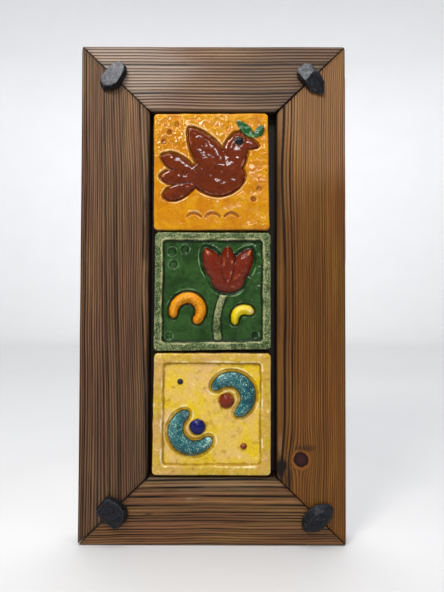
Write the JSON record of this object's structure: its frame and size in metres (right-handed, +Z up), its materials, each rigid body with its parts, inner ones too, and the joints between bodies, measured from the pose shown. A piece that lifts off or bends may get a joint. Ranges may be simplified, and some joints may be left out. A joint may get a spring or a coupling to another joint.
{
  "type": "framed ceramic tile wall panel",
  "caption": "Upright wall panel: square glazed relief tiles stacked in a mitred frame of brushed softwood boards, with forged iron nails over the mitres.",
  "frame": {"origin": "the point on the back of the top rail, halfway along it and 25 mm below the frame's top edge, where the panel is fastened to its wall", "axes": "+Z up along the panel's height, the tiles face -Y, +Y points into the wall, +X to the viewer's right"},
  "size_m": [0.225, 0.0285, 0.4221],
  "materials": {
    "scorched_softwood": "scorched and wire-brushed softwood, oiled, satin",
    "back_plywood": "stained thin plywood, matt",
    "ochre_glazed_tile": "glossy orange-ochre glaze with a russet figure over fired clay",
    "green_glazed_tile": "glossy dark green glaze breaking pale on the rim, with red, yellow and orange figures",
    "yellow_glazed_tile": "cream and yellow glaze with teal, cobalt and iron-red figures",
    "forged_iron": "hand-forged iron, black scale, dull"
  },
  "bodies": {
    "root": {"top_rail": "scorched_softwood", "bottom_rail": "scorched_softwood", "left_stile": "scorched_softwood", "right_stile": "scorched_softwood", "back_board": "back_plywood", "tile_top": "ochre_glazed_tile", "tile_middle": "green_glazed_tile", "tile_bottom": "yellow_glazed_tile", "nail_top_left": "forged_iron", "nail_top_right": "forged_iron", "nail_bottom_left": "forged_iron", "nail_bottom_right": "forged_iron"}
  },
  "joints": []
}
